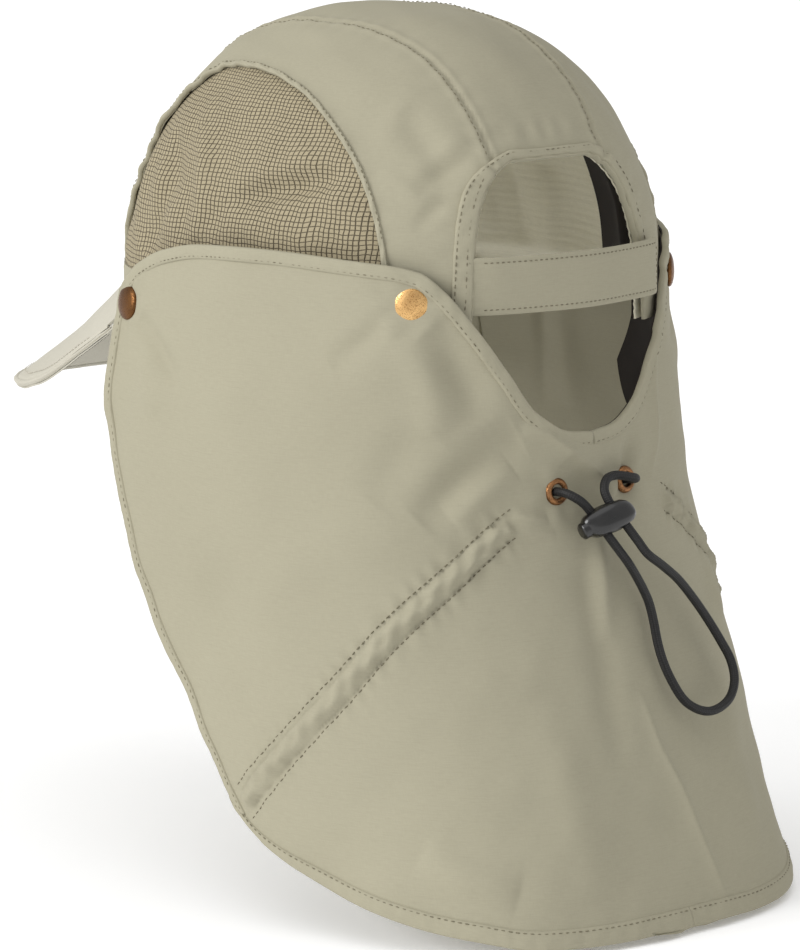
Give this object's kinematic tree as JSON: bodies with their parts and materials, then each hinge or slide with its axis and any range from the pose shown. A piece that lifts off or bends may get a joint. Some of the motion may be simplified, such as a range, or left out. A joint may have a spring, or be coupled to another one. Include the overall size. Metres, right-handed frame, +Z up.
{
  "type": "cap with neck cape",
  "caption": "Sun cap with a long curved bill, mesh side panels, rear adjuster strap and a removable neck cape with an elastic drawcord and cord lock.",
  "frame": {"origin": "middle of the wearer's head at the height of the crown's rim", "axes": "+X to the wearer's left, +Y to the back of the head, +Z up"},
  "size_m": [0.2074, 0.3462, 0.3085],
  "materials": {
    "khaki_cloth": "plain woven khaki cloth, matt",
    "mesh_cloth": "tan grid mesh, matt",
    "bill_cloth": "pale woven cloth, matt",
    "bill_board": "stiff plastic sheet, hidden in the bill",
    "towelling": "soft absorbent band",
    "brass": "antique brass, worn bright on the edges",
    "dark_brass": "dark antique brass",
    "black_cord": "braided elastic cord",
    "black_plastic": "moulded, glossy",
    "spring_steel": "bright wire",
    "hook_tape": "hook and loop tape"
  },
  "bodies": {
    "cap": {"crown_centre_panel": "khaki_cloth", "crown_side_panel_left": "khaki_cloth", "crown_side_panel_right": "khaki_cloth", "mesh_panel_left": "mesh_cloth", "mesh_panel_right": "mesh_cloth", "opening_binding": "khaki_cloth", "crown_lining": "khaki_cloth", "sweatband": "towelling", "bill_board": "bill_board", "bill_top_cover": "bill_cloth", "bill_under_cover": "khaki_cloth", "strap_root_tab": "khaki_cloth", "strap_loop_patch": "hook_tape", "cape_back_panel": "khaki_cloth", "hem_binding_back": "khaki_cloth", "top_binding_back": "khaki_cloth", "casing_back_left": "khaki_cloth", "casing_back_right": "khaki_cloth", "drawcord_back_left": "black_cord", "drawcord_back_right": "black_cord", "grommet_left": "brass", "grommet_right": "brass", "grommet_washer_left": "brass", "grommet_washer_right": "brass", "drawcord_loop": "black_cord", "snap_cap_rear_left": "brass", "snap_cap_rear_right": "brass", "snap_socket_rear_left": "dark_brass", "snap_socket_rear_right": "dark_brass", "snap_stud_rear_left": "dark_brass", "snap_stud_rear_right": "dark_brass", "snap_stud_front_left": "dark_brass", "snap_stud_front_right": "dark_brass", "snap_post_rear_left": "dark_brass", "snap_post_rear_right": "dark_brass", "snap_post_front_left": "dark_brass", "snap_post_front_right": "dark_brass"},
    "strap": {"adjuster_strap": "khaki_cloth", "strap_hook_patch": "hook_tape"},
    "cord_lock": {"cord_lock_body": "black_plastic", "lock_spring": "spring_steel"},
    "lock_button": {"lock_button": "black_plastic"},
    "wing_left": {"cape_wing_left": "khaki_cloth", "hem_binding_left": "khaki_cloth", "top_binding_left": "khaki_cloth", "front_binding_left": "khaki_cloth", "casing_wing_left": "khaki_cloth", "drawcord_wing_left": "black_cord", "snap_cap_front_left": "brass", "snap_socket_front_left": "dark_brass"},
    "wing_right": {"cape_wing_right": "khaki_cloth", "hem_binding_right": "khaki_cloth", "top_binding_right": "khaki_cloth", "front_binding_right": "khaki_cloth", "casing_wing_right": "khaki_cloth", "drawcord_wing_right": "black_cord", "snap_cap_front_right": "brass", "snap_socket_front_right": "dark_brass"}
  },
  "joints": [
    {"name": "wing_left_fold", "type": "hinge", "parent": "cap", "child": "wing_left", "pos_m": [0.06993, 0.07338, 0.01853], "axis": [0.0402, -0.3142, 0.9485], "range_deg": [0, 90]},
    {"name": "wing_right_fold", "type": "hinge", "parent": "cap", "child": "wing_right", "pos_m": [-0.06993, 0.07338, 0.01853], "axis": [0.0402, 0.3142, -0.9485], "range_deg": [0, 90]},
    {"name": "strap_peel", "type": "hinge", "parent": "cap", "child": "strap", "pos_m": [0.0415, 0.0925, 0], "axis": [0, 0, -1], "range_deg": [0, 90]},
    {"name": "cord_lock_slide", "type": "slide", "parent": "cap", "child": "cord_lock", "axis": [-0.4013, 0.4414, -0.8026], "range_m": [0, 0.01]},
    {"name": "lock_button_press", "type": "slide", "parent": "cord_lock", "child": "lock_button", "axis": [-0.9094, 0.2398, 0.3398], "range_m": [0, 0.001], "stiffness_N_per_m": 800, "springref_m": -0.0005, "deforming": ["lock_spring"]}
  ]
}
